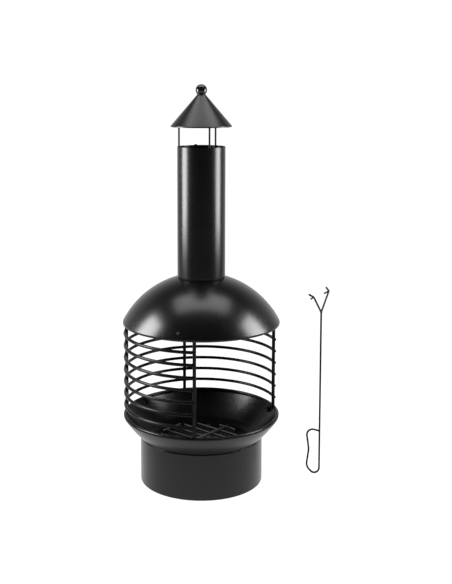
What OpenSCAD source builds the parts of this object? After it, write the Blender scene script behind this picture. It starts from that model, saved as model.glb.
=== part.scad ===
// Chimney fire pit: a sheet steel bowl in a base ring, with a rod guard, a domed hood,
// a chimney with a rain cap, a loose grate, and a hook tool that stands beside it.
// The origin is on the floor, on the fire pit's axis. +Z is up and -Y is the front.
// Azimuths run from +X toward +Y.

/* [Base] */
// How far the bowl's rim stands out past the base ring
bowl_over = 54; // [50:1:58]
// Height of the base ring
base_h = 144.5; // [135:0.5:155]

/* [Sheet and rod] */
// Thickness of all the sheet metal
sheet_t = 1.5; // [1.2:0.1:2]
// Diameter of the rod in the guard's rings
rod_d = 10; // [9:0.5:10.5]
// Diameter of the guard's uprights
upright_d = 11; // [10:0.5:12]

/* [Bowl] */
// Outside diameter of the bowl's rim
bowl_d = 500; // [496:1:504]
// Height of the rim above the base ring
bowl_rise = 71.2; // [68:0.2:75]
// Height of the upright lip
bowl_lip = 6; // [5:0.5:7]
// Radius of the wall's curve, seen from the side
bowl_wall_r = 370; // [350:5:420]
// Radius of the bend between wall and floor
bowl_bend_r = 55; // [50:1:60]
// Depth of the floor's underside below the base ring's top
bowl_sink = 22.2; // [20:0.2:25]

/* [Guard] */
// How far the guard rings run outside the uprights, from middle to middle
guard_out = 4.4; // [3.5:0.1:5]
// How far the uprights stand inside the foot ring, from middle to middle
upright_in = 3.4; // [2:0.1:5]
// Number of guard rings
guard_count = 7; // [5:1:7]
// Distance from one guard ring to the next
guard_pitch = 38.7; // [36:0.1:39]
// Height of the first guard ring above the bowl's rim
guard_first = 31.9; // [28:0.1:36]
// Azimuth of the right upright
right_az = 11; // [6:1:16]
// Azimuth of the back upright
back_az = 104; // [96:1:112]
// Azimuth of the left upright
left_az = 180; // [172:1:188]
// Azimuth of the front upright
front_az = 265; // [260:1:270]

/* [Hood] */
// Clear height from the bowl's rim to the hood's rim
mouth_h = 296.7; // [290:0.1:310]
// How far the hood's rim stands out past the bowl's rim
hood_over = 0.5; // [-1:0.5:2]
// Height of the hood's upright lip
hood_lip = 6.4; // [5.5:0.1:7]
// Height of the whole dome above its lip, before the collar's hole is cut
dome_rise = 150.2; // [145:0.2:156]

/* [Chimney] */
// Outside diameter of the chimney pipe
pipe_d = 152; // [148:1:156]
// Length of the chimney pipe
pipe_len = 412; // [380:1:440]
// Height of the collar inside the pipe's foot
collar_h = 60; // [50:1:75]
// Height of the bead that the pipe stands on
bead_h = 4; // [3:0.5:5]

/* [Rain cap] */
// Diameter of the cone's open end
cone_d = 192; // [184:1:200]
// Height of the cone, measured to its unrounded tip
cone_h = 112.5; // [106:0.5:118]
// Clear height between the pipe and the cone
cone_gap = 65; // [60:1:75]
// Diameter of the cap rods
cap_rod_d = 6; // [5:0.5:7]
// Length of the cap rods inside the pipe
cap_rod_in = 35; // [30:1:45]
// Azimuth of the first cap rod
cap_rod_az = 50.5; // [45:0.5:56]
// Diameter of the ball
ball_d = 36.4; // [34:0.2:38]
// Distance of the ball's middle below the cone's unrounded tip
ball_drop = 1.5; // [0.5:0.5:3]

/* [Grate] */
// Distance of the grate's round outline inside the base ring
grate_in = 59; // [58:0.5:60]
// Diameter of the grate's wires
grate_wire_d = 5; // [4.5:0.5:5.5]
// Distance of the outermost parallel wires inside the outline
grate_edge = 4; // [3:0.5:8]
// Distance of the outer cross wires inside the outline
grate_cross_in = 7; // [5:0.5:11]
// Azimuth along which the parallel wires run
grate_az = -41; // [-46:1:-36]

/* [Tool] */
// Diameter of the tool's wire
tool_d = 6; // [5:0.5:7]
// Diameter of the two short prongs
prong_d = 5; // [4.5:0.5:5.5]
// Height of the fork's root above the floor
tool_fork_z = 539; // [500:1:560]
// Distance of the tool from the fire pit's axis, to the right
tool_x = 386; // [370:1:410]
// Distance of the tool behind the fire pit's axis
tool_y = 17; // [0:1:30]
// Rise of each fork arm to its elbow
arm_rise = 60; // [55:1:66]
// Reach of each fork arm to its elbow
arm_reach = 55; // [50:1:60]
// Azimuth of the right fork arm
arm_az = 57; // [50:1:64]
// How far the hooks stand out from the fork
hook_out = 14; // [13:0.5:16]
// How far each hook runs along its arm, up for the tip and down for the prong
hook_along = 12; // [11:0.5:13]
// Bend radius of the hooks
hook_bend_r = 8; // [7:0.5:9]
// Width of the grip at its upper bulge, between the middles of the wire
grip_w = 44.7; // [42:0.1:47]
// Height of the grip's upper end on the shaft
grip_h = 144.3; // [140:0.1:150]
// Bend radius at the foot of the grip
grip_foot_r = 15.5; // [14:0.5:17]
// Angle between the shaft and the slanting part of the grip's foot
grip_foot_angle = 43.6; // [41:0.2:46]

/* [Fixings] */
// Diameter of the bolts and studs
bolt_d = 6; // [5:0.5:6.5]
// Width across the flats of the nuts
nut_flats = 10; // [9:0.5:10.5]
// Thickness of the nuts
nut_t = 5; // [4:0.5:5.5]
// Diameter of the domed bolt heads
head_d = 11; // [10:0.5:12]
// Height of the domed bolt heads
head_h = 3.5; // [3:0.1:3.8]
// Thickness of the tabs and brackets
tab_t = 3; // [2.5:0.1:3.2]
// Width of the tabs
tab_w = 16; // [14:0.5:18]
// Width of the base brackets
bracket_w = 30; // [26:1:34]
// Height of the base brackets
bracket_h = 42; // [36:1:60]
// Distance of the base bolts inside the base ring
base_bolt_in = 64.4; // [62:0.1:67]
// Depth of the bowl's studs below the rim
bowl_stud_drop = 20.3; // [19:0.1:23]
// Height of the hood's bolts above the hood's rim
hood_bolt_rise = 21.6; // [20:0.1:24]
// Azimuth of the first bowl stud
bowl_stud_az = 20; // [19:1:24]
// Azimuth of the first hood bolt
hood_bolt_az = 13.7; // [10:0.1:18]

/* [Hidden] */
$fn = 120;
// Overrun of cuts
over = 1;
// Weld gap between fixed pieces
weld_gap = 0.1;
// Gap at which loose pieces rest
rest_gap = 0.3;
// Slip gap between the collar and the pipe, on each side
slip_gap = 0.4;
// Clearance round a bolt in its hole, on each side
hole_gap = 0.3;
// Clearance between thread and nut, on each side
thread_gap = 0.05;
// Gap behind a flat tab on a curved wall
tab_gap = 0.5;
// Thread that shows past a nut
thread_show = 2;
// Pieces in each set of fixings
fix_count = 3;
fix_step = 360 / fix_count;

rod_r = rod_d / 2;
upright_r = upright_d / 2;
bolt_r = bolt_d / 2;
hole_r = bolt_r + hole_gap;
nut_r = nut_flats / 2 / cos(30);
dome_head_r = (pow(head_h, 2) + pow(head_d / 2, 2)) / (2 * head_h);

bowl_r = bowl_d / 2;
base_r = bowl_r - bowl_over;
base_in_r = base_r - sheet_t;
base_bolt_r = base_r - base_bolt_in;

// The bowl's wall is an arc from its seat on the base ring up to the lip
bowl_in_r = bowl_r - sheet_t;
rim_z = base_h + bowl_rise;
seat_gap = 0.2;
wall_foot = [base_in_r - seat_gap, base_h];
wall_head = [bowl_r, rim_z - bowl_lip];
wall_chord = wall_head - wall_foot;
wall_span = norm(wall_chord);
wall_sight = sqrt(pow(bowl_wall_r, 2) - pow(wall_span / 2, 2));
wall_mid = (wall_head + wall_foot) / 2;
wall_c = wall_mid + wall_sight * [-wall_chord[1], wall_chord[0]] / wall_span;
floor_z = base_h - bowl_sink;
floor_in_z = floor_z + sheet_t;
bend_reach = bowl_wall_r - bowl_bend_r;
bend_drop = wall_c[1] - floor_z - bowl_bend_r;
bend_c = [wall_c[0] + sqrt(pow(bend_reach, 2) - pow(bend_drop, 2)), floor_z + bowl_bend_r];
bend_dir = (bend_c - wall_c) / bend_reach;
wall_in_r = bowl_wall_r - sheet_t;

// Foot ring, nested in the bowl's lip
foot_r = bowl_in_r - weld_gap - rod_r;
foot_z = rim_z - bowl_lip / 2;
// Half of the gap between the ends of the foot ring's two lengths
foot_end_gap = 1.5;
foot_end_az = asin(foot_end_gap / foot_r);

// The hood's dome is a sphere cut by the lip
hood_z = rim_z + mouth_h;
hood_r = bowl_r + hood_over;
lip_top_z = hood_z + hood_lip;
dome_r = (pow(hood_r, 2) + pow(dome_rise, 2)) / (2 * dome_rise);
dome_c = lip_top_z + dome_rise - dome_r;
dome_in_r = dome_r - sheet_t;

// Top ring, nested in the hood's lip
top_r = hood_r - sheet_t - weld_gap - rod_r;
top_z = hood_z + hood_lip / 2;

// Guard, with the length of an upright past the middle of the foot ring and of the top ring
upright_foot = 4;
upright_circle_r = foot_r - upright_in;
guard_r = upright_circle_r + guard_out;
upright_z = foot_z - upright_foot;
upright_top_z = top_z + upright_foot;
opening_az = 360 + right_az - front_az;

// Chimney
pipe_r = pipe_d / 2;
pipe_in_r = pipe_r - sheet_t;
collar_r = pipe_in_r - slip_gap;
collar_in_r = collar_r - sheet_t;
// Width of the bead under the pipe's edge
bead_out = 1.1;
bead_r = collar_r + bead_out;
dome_foot_z = dome_c + sqrt(pow(dome_r, 2) - pow(pipe_r, 2));
bead_z = dome_foot_z + bead_h;
// Length of the collar under the dome
collar_tail = 8;
collar_z = dome_foot_z - collar_tail;
pipe_z = bead_z + rest_gap;
pipe_top_z = pipe_z + pipe_len;

// Rain cap
cone_r = cone_d / 2;
cone_z = pipe_top_z + cone_gap;
tip_z = cone_z + cone_h;
cone_slope = atan(cone_h / cone_r);
tip_in_z = tip_z - sheet_t / cos(cone_slope);
tip_weld_z = tip_in_z - weld_gap / cos(cone_slope);
cap_rod_r = cap_rod_d / 2;
cap_rod_at = pipe_in_r - weld_gap - cap_rod_r;
ball_r = ball_d / 2;
ball_z = tip_z - ball_drop;
washer_t = 2;
washer_top_z = ball_z - ball_r - weld_gap;
washer_r = (tip_weld_z - washer_top_z) / tan(cone_slope);
finial_nut_z = washer_top_z - washer_t - weld_gap - nut_t;
finial_stud_z = finial_nut_z - thread_show;
// Depth of the threaded hole in the ball, and the length of thread in it
ball_hole = 15;
ball_thread = 13;

// Grate
grate_r = base_r - grate_in;
grate_wire_r = grate_wire_d / 2;
grate_z = floor_in_z + rest_gap + grate_wire_r;
grate_cross_z = grate_z + grate_wire_d + weld_gap;
grate_count = 8;
grate_pitch = 2 * (grate_r - grate_edge) / (grate_count - 1);
grate_cross_at = grate_r - grate_cross_in;

// Fixing on the bowl's wall: its place, and the foot ring's place as seen from there
stud_z = rim_z - bowl_stud_drop;
stud_angle = asin((wall_c[1] - stud_z) / wall_in_r);
stud_at = wall_c + wall_in_r * [cos(stud_angle), -sin(stud_angle)];
stud_along = [sin(stud_angle), cos(stud_angle)];
stud_out = [-cos(stud_angle), sin(stud_angle)];
foot_from_stud = [foot_r, foot_z] - stud_at;
foot_tab_ring = [foot_from_stud * stud_along, foot_from_stud * stud_out];

// Fixing on the hood: its place, and the top ring's place as seen from there
hood_bolt_angle = asin((hood_z + hood_bolt_rise - dome_c) / dome_in_r);
hood_bolt_at = [0, dome_c] + dome_in_r * [cos(hood_bolt_angle), sin(hood_bolt_angle)];
hood_bolt_along = [sin(hood_bolt_angle), -cos(hood_bolt_angle)];
hood_bolt_out = [-cos(hood_bolt_angle), -sin(hood_bolt_angle)];
top_from_bolt = [top_r, top_z] - hood_bolt_at;
top_tab_ring = [top_from_bolt * hood_bolt_along, top_from_bolt * hood_bolt_out];

// Tabs
tab_back = 10;
tab_face = tab_gap + tab_t;
wall_nut_z = tab_face + weld_gap;
wall_thread = wall_nut_z + nut_t + thread_show;

// Base brackets
bracket_edge = 13;
bracket_top_z = floor_z - weld_gap;
bracket_out = sqrt(pow(base_in_r, 2) - pow(bracket_w / 2, 2)) - weld_gap;
bracket_in = base_bolt_r - bracket_edge;
bracket_under_z = bracket_top_z - tab_t;
base_head_z = floor_in_z + weld_gap;
base_nut_z = bracket_under_z - weld_gap - nut_t;
base_bolt_len = base_head_z - base_nut_z + thread_show;

// Fuller section of a bent wire's bends, and the lap of its straights into them
bend_swell = 0.02;
bend_lap = 0.05;

// Tool: the grip's path, from the root of the fork down the shaft and back up to it
tool_r = tool_d / 2;
prong_r = prong_d / 2;
grip_corner_z = tool_r + grip_foot_r - grip_foot_r / tan(grip_foot_angle / 2);
grip_side_share = 0.95;
grip_waist_share = 0.77;
grip_waist_z_share = 0.577;
grip_head_share = 1.08;
// Distance at which the wire's end stops short of the shaft's axis
grip_end = tool_r / 2;
grip_side = grip_w * grip_side_share;
grip_path = [
    [0, tool_fork_z],
    [0, grip_corner_z],
    [-grip_side, grip_corner_z + grip_side / tan(grip_foot_angle)],
    [-grip_w * grip_waist_share, grip_h * grip_waist_z_share],
    [-grip_w, grip_h * grip_head_share],
    [-grip_end, grip_h]
];
// Bend radii of the grip after its foot
grip_side_r = 29;
grip_waist_r = 60;
grip_head_r = 18;
grip_bends = [0, grip_foot_r, grip_side_r, grip_waist_r, grip_head_r, 0];
arm_len = norm([arm_rise, arm_reach]);
arm_tilt = atan(arm_reach / arm_rise);
arm_path = [[0, 0], [0, arm_len], [hook_out, arm_len + hook_along]];
arm_bends = [0, hook_bend_r, 0];
prong_len = norm([hook_out, hook_along]);
prong_angle = atan2(-hook_along, hook_out);

// Round rod bent into a ring, or into an arc that starts at the azimuth from
module ring(r, z, wire_r, from = 0, sweep = 360) {
    translate([0, 0, z]) rotate([0, 0, from]) rotate_extrude(angle = sweep)
        translate([r, 0]) circle(wire_r);
}

// Copies placed at equal steps round the axis
module fix_set(first_az) {
    for (i = [0 : fix_count - 1]) rotate([0, 0, first_az + i * fix_step]) children();
}

// Hexagon nut that stands on z = 0
module nut() {
    difference() {
        cylinder(r = nut_r, h = nut_t, $fn = 6);
        translate([0, 0, -over]) cylinder(r = bolt_r + thread_gap, h = nut_t + 2 * over);
    }
}

// Domed bolt whose head stands on z = 0, with its thread below
module dome_bolt(len) {
    intersection() {
        translate([0, 0, head_h - dome_head_r]) sphere(dome_head_r);
        cylinder(d = head_d, h = head_h);
    }
    translate([0, 0, -len]) cylinder(r = bolt_r, h = len);
}

// Frame on the bowl's inner wall: z points into the bowl and x along the wall to the foot ring
module on_bowl_wall() {
    translate([stud_at[0], 0, stud_at[1]]) rotate([0, stud_angle - 90, 0]) children();
}

// Frame on the dome's inner wall: z points into the hood and x along the wall to the top ring
module on_dome_wall() {
    translate([hood_bolt_at[0], 0, hood_bolt_at[1]])
        rotate([0, -90 - hood_bolt_angle, 0]) rotate([0, 0, 180]) children();
}

// Flat tab that runs from a fixing up to the underside of a ring rod
module wall_tab(ring_at) {
    end = ring_at[0] - sqrt(pow(rod_r + weld_gap, 2) - pow(ring_at[1] - tab_face, 2));
    difference() {
        translate([-tab_back, -tab_w / 2, tab_gap]) cube([tab_back + end, tab_w, tab_t]);
        cylinder(r = hole_r, h = tab_face + over);
    }
}

// Everything inside the bowl's outer or inner face, as a half section: the wall's circle above
// the point where the bend's circle meets it, the bend's circle, and the space over the floor.
// The lip is where the rim's width cuts the wall's circle.
module bowl_section(inset) {
    bend_r = bowl_bend_r - inset;
    meet = bend_c + bend_r * bend_dir;
    intersection() {
        translate(wall_c) circle(bowl_wall_r - inset);
        translate([0, meet[1]]) square([bowl_r - inset, rim_z - meet[1]]);
    }
    intersection() {
        translate(bend_c) circle(bend_r);
        square([bowl_r, bend_c[1]]);
    }
    translate([0, floor_z + inset]) square([bend_c[0], meet[1] - floor_z]);
}

// Everything under the hood's outer or inner face, as a half section: the lip is where the
// rim's width cuts the dome's circle
module hood_section(inset) {
    intersection() {
        translate([0, dome_c]) circle(dome_r - inset);
        translate([0, hood_z]) square([hood_r - inset, dome_r]);
    }
}

// Solid cone under the rain cap's sheet, with its tip at z and its foot at bottom
module cone_under(tip, bottom) {
    translate([0, 0, bottom]) cylinder(r1 = (tip - bottom) / tan(cone_slope), r2 = 0, h = tip - bottom);
}

// Length of a bend's tangent, and the turn at a point of a flat path
function heading(a, b) = atan2(b[1] - a[1], b[0] - a[0]);
function half_turn(t) = t > 180 ? t - 360 : t < -180 ? t + 360 : t;
function turn(path, i) = half_turn(heading(path[i], path[i + 1]) - heading(path[i - 1], path[i]));
function tangent(path, bends, i) =
    bends[i] == 0 ? 0 : bends[i] * tan(abs(turn(path, i)) / 2);
function toward(a, b, d) = a + d * (b - a) / norm(b - a);

// Wire along a flat path, with a round bend at each inner point. The straights run a little
// way into the bends, which come out a hair fuller.
module bent_wire(path, bends, wire_r) {
    last = len(path) - 1;
    for (i = [0 : last - 1]) {
        a = toward(path[i], path[i + 1], tangent(path, bends, i) - (i > 0 ? bend_lap : 0));
        b = toward(path[i + 1], path[i], tangent(path, bends, i + 1) - (i + 1 < last ? bend_lap : 0));
        translate(a) rotate([0, 0, heading(a, b)]) rotate([0, 90, 0])
            cylinder(r = wire_r, h = norm(b - a));
    }
    for (i = [1 : len(path) - 2]) {
        start = toward(path[i], path[i - 1], tangent(path, bends, i));
        way = heading(path[i - 1], path[i]);
        side = sign(turn(path, i));
        centre = start + side * bends[i] * [-sin(way), cos(way)];
        first = side > 0 ? way - 90 : way + 90 + turn(path, i);
        translate(centre) rotate([0, 0, first]) rotate_extrude(angle = abs(turn(path, i)))
            translate([bends[i], 0]) circle(wire_r + bend_swell);
    }
}

// Frame of the tool: x and z as they are, with the path's y up
module on_tool() {
    translate([tool_x, tool_y, 0]) children();
}

// Frame of a fork arm: its path's x is the hooks' way and its y runs along the arm
module on_arm(side) {
    on_tool() translate([0, 0, tool_fork_z]) rotate([0, 0, arm_az + 90])
        rotate([side * arm_tilt, 0, 0]) rotate([90, 0, 0]) children();
}

module base_ring() {
    color("dimgray") difference() {
        cylinder(r = base_r, h = base_h);
        translate([0, 0, -over]) cylinder(r = base_in_r, h = base_h + 2 * over);
    }
}

module base_brackets() {
    color("dimgray") fix_set(grate_az) difference() {
        union() {
            translate([bracket_in, -bracket_w / 2, bracket_under_z])
                cube([bracket_out - bracket_in, bracket_w, tab_t]);
            translate([bracket_out - tab_t, -bracket_w / 2, bracket_top_z - bracket_h])
                cube([tab_t, bracket_w, bracket_h]);
        }
        translate([base_bolt_r, 0, bracket_under_z - over]) cylinder(r = hole_r, h = tab_t + 2 * over);
    }
}

module base_bolts() {
    color("black") fix_set(grate_az) translate([base_bolt_r, 0, base_head_z]) dome_bolt(base_bolt_len);
}

module base_nuts() {
    color("silver") fix_set(grate_az) translate([base_bolt_r, 0, base_nut_z]) nut();
}

module fire_bowl() {
    color("dimgray") difference() {
        rotate_extrude() difference() {
            bowl_section(0);
            bowl_section(sheet_t);
        }
        fix_set(grate_az) translate([base_bolt_r, 0, floor_z - over])
            cylinder(r = hole_r, h = sheet_t + 2 * over);
    }
}

module bowl_studs() {
    color("black") fix_set(bowl_stud_az) on_bowl_wall()
        translate([0, 0, weld_gap]) cylinder(r = bolt_r, h = wall_thread - weld_gap);
}

module bowl_nuts() {
    color("black") fix_set(bowl_stud_az) on_bowl_wall() translate([0, 0, wall_nut_z]) nut();
}

module foot_ring_back() {
    color("dimgray") difference() {
        ring(foot_r, foot_z, rod_r, right_az + foot_end_az, 360 - opening_az - 2 * foot_end_az);
        upright_stock(right_az, weld_gap);
        upright_stock(front_az, weld_gap);
    }
}

module foot_ring_front() {
    color("dimgray") difference() {
        ring(foot_r, foot_z, rod_r, front_az + foot_end_az, opening_az - 2 * foot_end_az);
        upright_stock(right_az, weld_gap);
        upright_stock(front_az, weld_gap);
    }
}

module foot_tabs() {
    color("dimgray") fix_set(bowl_stud_az) on_bowl_wall() wall_tab(foot_tab_ring);
}

function guard_z(i) = rim_z + guard_first + i * guard_pitch;

module guard_ring(i) {
    color("dimgray") difference() {
        ring(guard_r, guard_z(i), rod_r, right_az, 360 - opening_az);
        upright_stock(right_az, weld_gap);
        upright_stock(front_az, weld_gap);
    }
}

// Plain rod of an upright, larger by a gap all round
module upright_stock(az, gap) {
    rotate([0, 0, az]) translate([upright_circle_r, 0, upright_z - gap])
        cylinder(r = upright_r + gap, h = upright_top_z - upright_z + 2 * gap);
}

// Upright whose rings end on it, so that only the top ring is let in
module end_upright(az) {
    color("dimgray") difference() {
        upright_stock(az, 0);
        ring(top_r, top_z, rod_r + weld_gap);
    }
}

// Upright that the rings pass on the outside, let in to it
module passed_upright(az) {
    color("dimgray") difference() {
        upright_stock(az, 0);
        ring(top_r, top_z, rod_r + weld_gap);
        ring(foot_r, foot_z, rod_r + weld_gap);
        for (i = [0 : guard_count - 1]) ring(guard_r, guard_z(i), rod_r + weld_gap);
    }
}

module upright_right() { end_upright(right_az); }

module upright_back() { passed_upright(back_az); }

module upright_left() { passed_upright(left_az); }

module upright_front() { end_upright(front_az); }

module top_ring() {
    color("dimgray") ring(top_r, top_z, rod_r);
}

module top_tabs() {
    color("dimgray") fix_set(hood_bolt_az) on_dome_wall() wall_tab(top_tab_ring);
}

module hood_dome() {
    color("dimgray") difference() {
        rotate_extrude() difference() {
            hood_section(0);
            hood_section(sheet_t);
            translate([0, collar_z]) square([collar_r + weld_gap, dome_r]);
        }
        fix_set(hood_bolt_az) on_dome_wall() translate([0, 0, -sheet_t - over])
            cylinder(r = hole_r, h = sheet_t + 2 * over);
    }
}

module hood_bolts() {
    color("black") fix_set(hood_bolt_az) on_dome_wall()
        translate([0, 0, -sheet_t - weld_gap]) rotate([180, 0, 0])
        dome_bolt(wall_thread + sheet_t + weld_gap);
}

module hood_nuts() {
    color("silver") fix_set(hood_bolt_az) on_dome_wall() translate([0, 0, wall_nut_z]) nut();
}

module hood_collar() {
    color("dimgray") rotate_extrude() difference() {
        union() {
            translate([collar_in_r, collar_z]) square([sheet_t, bead_z + collar_h - collar_z]);
            translate([collar_r, collar_z]) difference() {
                square([bead_out, bead_z - collar_z]);
                translate([-collar_r, dome_c - collar_z]) circle(dome_r + weld_gap);
            }
        }
    }
}

module chimney_pipe() {
    color("dimgray") translate([0, 0, pipe_z]) difference() {
        cylinder(r = pipe_r, h = pipe_len);
        translate([0, 0, -over]) cylinder(r = pipe_in_r, h = pipe_len + 2 * over);
    }
}

module cap_rod(i) {
    color("black") intersection() {
        rotate([0, 0, cap_rod_az + i * fix_step]) translate([cap_rod_at, 0, pipe_top_z - cap_rod_in])
            cylinder(r = cap_rod_r, h = cap_rod_in + cone_gap + cone_h);
        cone_under(tip_weld_z, pipe_top_z - cap_rod_in - over);
    }
}

module rain_cone() {
    color("gray") difference() {
        translate([0, 0, cone_z]) cylinder(r1 = cone_r, r2 = 0, h = cone_h);
        cone_under(tip_in_z, cone_z - over);
        translate([0, 0, ball_z]) sphere(ball_r + weld_gap);
    }
}

module finial_ball() {
    color("black") translate([0, 0, ball_z]) difference() {
        sphere(ball_r);
        translate([0, 0, -ball_r - over]) cylinder(r = bolt_r + thread_gap, h = ball_hole + over);
    }
}

module finial_stud() {
    color("silver") translate([0, 0, finial_stud_z])
        cylinder(r = bolt_r, h = ball_z - ball_r + ball_thread - finial_stud_z);
}

module finial_washer() {
    color("silver") translate([0, 0, washer_top_z - washer_t]) difference() {
        cylinder(r = washer_r, h = washer_t);
        translate([0, 0, -over]) cylinder(r = hole_r, h = washer_t + 2 * over);
    }
}

module finial_nut() {
    color("silver") translate([0, 0, finial_nut_z]) nut();
}

// Straight grate wire at a distance from the middle, cut to the grate's round outline
module grate_wire(az, at, z) {
    half = sqrt(pow(grate_r, 2) - pow(at, 2));
    color("gray") rotate([0, 0, az]) translate([-half, at, z]) rotate([0, 90, 0])
        cylinder(r = grate_wire_r, h = 2 * half);
}

module grate_bar(i) {
    grate_wire(grate_az, (i - (grate_count - 1) / 2) * grate_pitch, grate_z);
}

module grate_cross(i) {
    grate_wire(grate_az + 90, i * grate_cross_at, grate_cross_z);
}

module tool_shaft() {
    color("black") on_tool() rotate([90, 0, 0]) bent_wire(grip_path, grip_bends, tool_r);
}

// Fork arm that stands on the shaft's end and meets the other arm in the middle
module tool_arm(side) {
    color("black") difference() {
        on_arm(side) bent_wire(arm_path, arm_bends, tool_r);
        on_tool() translate([-tool_d, -tool_d, tool_fork_z - 2 * tool_d])
            cube([2 * tool_d, 2 * tool_d, 2 * tool_d + weld_gap]);
        on_tool() translate([0, 0, tool_fork_z]) rotate([0, 0, arm_az + 90])
            translate([-tool_d, side > 0 ? -weld_gap / 2 : weld_gap / 2 - 2 * tool_d, -tool_d])
            cube([2 * tool_d, 2 * tool_d, 3 * tool_d]);
    }
}

module tool_arm_left() { tool_arm(-1); }

module tool_arm_right() { tool_arm(1); }

// Short prong below each elbow, shaped to its arm
module tool_prong(side) {
    color("black") difference() {
        on_arm(side) translate([0, arm_len]) rotate([0, 0, prong_angle]) rotate([0, 90, 0])
            cylinder(r = prong_r, h = prong_len);
        on_arm(side) bent_wire(arm_path, arm_bends, tool_r + weld_gap);
        on_arm(side) translate([-2 * tool_d, arm_len - 2 * tool_d, -tool_d])
            cube([2 * tool_d, 4 * tool_d, 2 * tool_d]);
    }
}

module tool_prong_left() { tool_prong(-1); }

module tool_prong_right() { tool_prong(1); }

base_ring();
base_brackets();
base_bolts();
base_nuts();
fire_bowl();
bowl_studs();
bowl_nuts();
foot_ring_back();
foot_ring_front();
foot_tabs();
guard_ring(0);  // guard_ring_1
guard_ring(1);  // guard_ring_2
guard_ring(2);  // guard_ring_3
guard_ring(3);  // guard_ring_4
guard_ring(4);  // guard_ring_5
guard_ring(5);  // guard_ring_6
guard_ring(6);  // guard_ring_7
upright_right();
upright_back();
upright_left();
upright_front();
top_ring();
top_tabs();
hood_dome();
hood_bolts();
hood_nuts();
hood_collar();
chimney_pipe();
cap_rod(0);  // cap_rod_1
cap_rod(1);  // cap_rod_2
cap_rod(2);  // cap_rod_3
rain_cone();
finial_ball();
finial_stud();
finial_washer();
finial_nut();
grate_bar(0);  // grate_bar_1
grate_bar(1);  // grate_bar_2
grate_bar(2);  // grate_bar_3
grate_bar(3);  // grate_bar_4
grate_bar(4);  // grate_bar_5
grate_bar(5);  // grate_bar_6
grate_bar(6);  // grate_bar_7
grate_bar(7);  // grate_bar_8
grate_cross(-1);  // grate_cross_1
grate_cross(0);  // grate_cross_2
grate_cross(1);  // grate_cross_3
tool_shaft();
tool_arm_left();
tool_arm_right();
tool_prong_left();
tool_prong_right();
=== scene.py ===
import math

import bmesh
import bpy
from mathutils import Matrix, Vector, noise


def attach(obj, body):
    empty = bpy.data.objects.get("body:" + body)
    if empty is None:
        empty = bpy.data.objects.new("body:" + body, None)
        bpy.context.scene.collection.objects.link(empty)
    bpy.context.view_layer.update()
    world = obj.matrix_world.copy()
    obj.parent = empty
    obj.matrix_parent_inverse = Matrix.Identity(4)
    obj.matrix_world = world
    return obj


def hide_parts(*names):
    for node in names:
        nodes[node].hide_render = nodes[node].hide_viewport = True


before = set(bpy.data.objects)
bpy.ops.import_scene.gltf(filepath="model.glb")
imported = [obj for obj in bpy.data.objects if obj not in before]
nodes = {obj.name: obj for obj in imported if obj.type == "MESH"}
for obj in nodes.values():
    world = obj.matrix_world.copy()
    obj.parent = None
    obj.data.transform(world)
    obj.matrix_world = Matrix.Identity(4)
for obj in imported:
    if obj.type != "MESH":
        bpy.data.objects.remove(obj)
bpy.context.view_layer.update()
mm = 0.001
print("frame loaded,", len(nodes), "CAD nodes")


# Camera, at the photograph's height and distance; the shift keeps the tilt small
cameraView = {
    "place": (-0.0027, -3.05, 1.280),
    "lookDown": 6.63,  # degrees
    "lens": 59.973,
    "sensor": 36,
    "shiftX": 0.0437,
    "shiftY": -0.1683,
    "farthest": 60,
}


def setCamera(view):
    data = bpy.data.cameras.new("studioCamera")
    data.lens = view["lens"]
    data.sensor_width = view["sensor"]
    data.shift_x = view["shiftX"]
    data.shift_y = view["shiftY"]
    data.clip_end = view["farthest"]
    camera = bpy.data.objects.new("studioCamera", data)
    camera.location = view["place"]
    camera.rotation_euler = (math.radians(90 - view["lookDown"]), 0, 0)
    bpy.context.scene.collection.objects.link(camera)
    bpy.context.scene.camera = camera


setCamera(cameraView)
bpy.context.scene.view_settings.view_transform = "Standard"


# Studio: two tall soft boxes at the sides, one panel overhead, and a white room
softBoxes = {
    "leftBox": {"at": (-1.25, -0.12, 1.06), "aim": (0, 0, 0.9), "size": (0.62, 0.95), "watts": 30},
    "rightBox": {"at": (1.25, -0.12, 1.06), "aim": (0, 0, 0.9), "size": (0.58, 0.95), "watts": 24},
    "topPanel": {"at": (0.05, 0.08, 2.6), "aim": (0.05, 0.08, 0), "size": (2.2, 1.0), "watts": 25},
}
# What the black coat mirrors of the room: brightness by height, toward the camera and behind
room = {
    "plain": 1.03,  # brightness of the room where the coat doesn't mirror it
    "mirrored": 1.0,
    "front": ((0.0, 0.7), (0.2, 0.78), (0.325, 1.0), (0.365, 0.12), (0.39, 0.0), (0.5, 0.0)),
    "back": ((0.0, 0.8), (0.3, 1.0), (0.5, 0.8), (0.72, 0.5), (0.86, 0.1), (0.976, 0.05)),
    "frontStarts": 0.3,  # the direction's y up to which the room is as dark as in front
    "frontEnds": 0.95,
}
floorLook = {"radius": 9, "corners": 96, "grey": 0.15, "glow": 0.88}


def softBox(name, box):
    data = bpy.data.lights.new(name, "AREA")
    data.shape = "RECTANGLE"
    data.size, data.size_y = box["size"]
    data.energy = box["watts"]
    light = bpy.data.objects.new(name, data)
    light.location = box["at"]
    way = Vector(box["aim"]) - Vector(box["at"])
    light.rotation_euler = way.to_track_quat("-Z", "Y").to_euler()
    light.visible_camera = False
    bpy.context.scene.collection.objects.link(light)


def brightnessRamp(tree, stops):
    ramp = tree.nodes.new("ShaderNodeValToRGB")
    line = ramp.color_ramp
    while len(line.elements) < len(stops):
        line.elements.new(0.5)  # moved to its own place below
    for element, (position, level) in zip(line.elements, stops):
        element.position = position
        element.color = (level, level, level, 1)
    return ramp


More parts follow.
